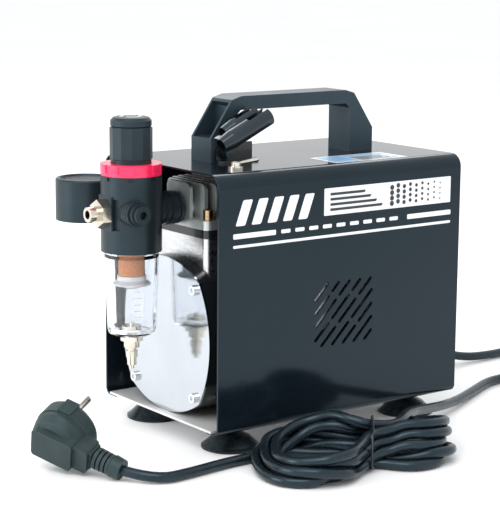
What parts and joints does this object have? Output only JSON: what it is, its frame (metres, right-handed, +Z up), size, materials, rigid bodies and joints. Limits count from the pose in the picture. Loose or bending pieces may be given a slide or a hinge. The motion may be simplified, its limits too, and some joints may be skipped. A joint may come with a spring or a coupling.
{
  "type": "airbrush compressor",
  "caption": "Cased piston air compressor for an airbrush, with carrying handle, filter regulator, pressure gauge, suction feet and a mains lead with plug.",
  "frame": {"origin": "on the floor, under the middle of the object without its mains lead", "axes": "+X towards the rear panel and along the case, -Y towards the printed side, +Z up"},
  "size_m": [0.5272, 0.2364, 0.2254],
  "materials": {
    "black_paint": "gloss",
    "black_plastic": "satin",
    "gloss_black_plastic": "gloss",
    "black_rubber": "matt",
    "bright_steel": "satin",
    "zinc_steel": "satin",
    "nickel": "polished",
    "iron": "as cast",
    "alloy": "satin",
    "cast_alloy": "as cast",
    "copper": "enamelled",
    "brass": "satin",
    "bronze_sinter": "sintered",
    "pink_plastic": "gloss",
    "white_plastic": "gloss",
    "clear_plastic": "clear",
    "label": "gloss",
    "dial": "matt"
  },
  "bodies": {
    "case": {"housing_shell": "black_paint", "base_plate": "zinc_steel", "rear_panel": "black_paint", "handle": "black_plastic", "handle_screws": "bright_steel", "suction_feet": "black_rubber", "foot_studs": "bright_steel", "top_label": "label", "switch_body": "nickel", "holder_bracket": "black_paint", "holder_screw": "bright_steel", "crankcase": "black_paint", "crankcase_cover": "bright_steel", "cover_screws": "bright_steel", "cylinder": "alloy", "valve_plate": "black_paint", "cylinder_head": "cast_alloy", "head_screws": "brass", "intake_filter": "black_plastic", "outlet_fitting": "black_plastic", "motor_stator": "bright_steel", "motor_windings": "copper", "motor_end_bracket": "cast_alloy", "motor_bolts": "bright_steel", "motor_bearings": "bright_steel", "pump_mounts": "black_rubber", "regulator_body": "black_plastic", "regulator_bonnet": "black_plastic", "lock_ring": "pink_plastic", "bowl": "clear_plastic", "filter_element": "bronze_sinter", "baffle": "white_plastic", "drain_valve": "brass", "port_plug": "black_plastic", "outlet_nipple": "nickel", "gauge_case": "black_plastic", "gauge_bezel": "black_plastic", "gauge_glass": "clear_plastic", "gauge_dial": "dial", "gauge_stem": "brass", "cord_gland": "black_plastic", "cord_lead": "black_rubber", "cord_tail": "black_rubber", "cord_hank": "black_rubber", "plug": "black_plastic", "plug_pins": "nickel"},
    "rotor": {"motor_shaft": "bright_steel", "motor_rotor": "iron", "cooling_fan": "black_plastic", "crank_disc": "iron"},
    "piston": {"connecting_rod": "alloy", "big_end_bearing": "bright_steel", "crank_pin": "bright_steel", "piston_cup": "white_plastic"},
    "spindle": {"regulating_spindle": "brass"},
    "knob": {"regulator_knob": "black_plastic"},
    "needle": {"gauge_needle": "black_paint"},
    "drain": {"drain_pin": "brass"},
    "lever": {"switch_lever": "nickel"},
    "holder": {"airbrush_holder": "gloss_black_plastic"}
  },
  "joints": [
    {"name": "motor_spin", "type": "hinge", "parent": "case", "child": "rotor", "pos_m": [0.028, -0.0019, 0.07], "axis": [1, 0, 0], "continuous": true},
    {"name": "piston_stroke", "type": "slide", "parent": "case", "child": "piston", "axis": [0, 0, 1], "range_m": [0, 0.012]},
    {"name": "regulator_turn", "type": "hinge", "parent": "case", "child": "spindle", "pos_m": [-0.0963, -0.0019, 0.19], "axis": [0, 0, 1], "range_deg": [-720, 720]},
    {"name": "knob_lift", "type": "slide", "parent": "spindle", "child": "knob", "axis": [0, 0, 1], "range_m": [0, 0.003]},
    {"name": "needle_turn", "type": "hinge", "parent": "case", "child": "needle", "pos_m": [-0.0998, 0.0491, 0.163], "axis": [0, 0, -1], "range_deg": [0, 270], "stiffness_Nm_per_rad": 0.00002},
    {"name": "drain_push", "type": "slide", "parent": "case", "child": "drain", "axis": [0, 0, 1], "range_m": [0, 0.003], "stiffness_N_per_m": 150, "springref_m": -0.002},
    {"name": "switch_flip", "type": "hinge", "parent": "case", "child": "lever", "pos_m": [-0.0468, -0.0479, 0.1863], "axis": [0, -1, 0], "range_deg": [0, 60]},
    {"name": "holder_tilt", "type": "hinge", "parent": "case", "child": "holder", "pos_m": [-0.0318, -0.017, 0.1885], "axis": [0, -1, 0], "range_deg": [-20, 25]}
  ]
}
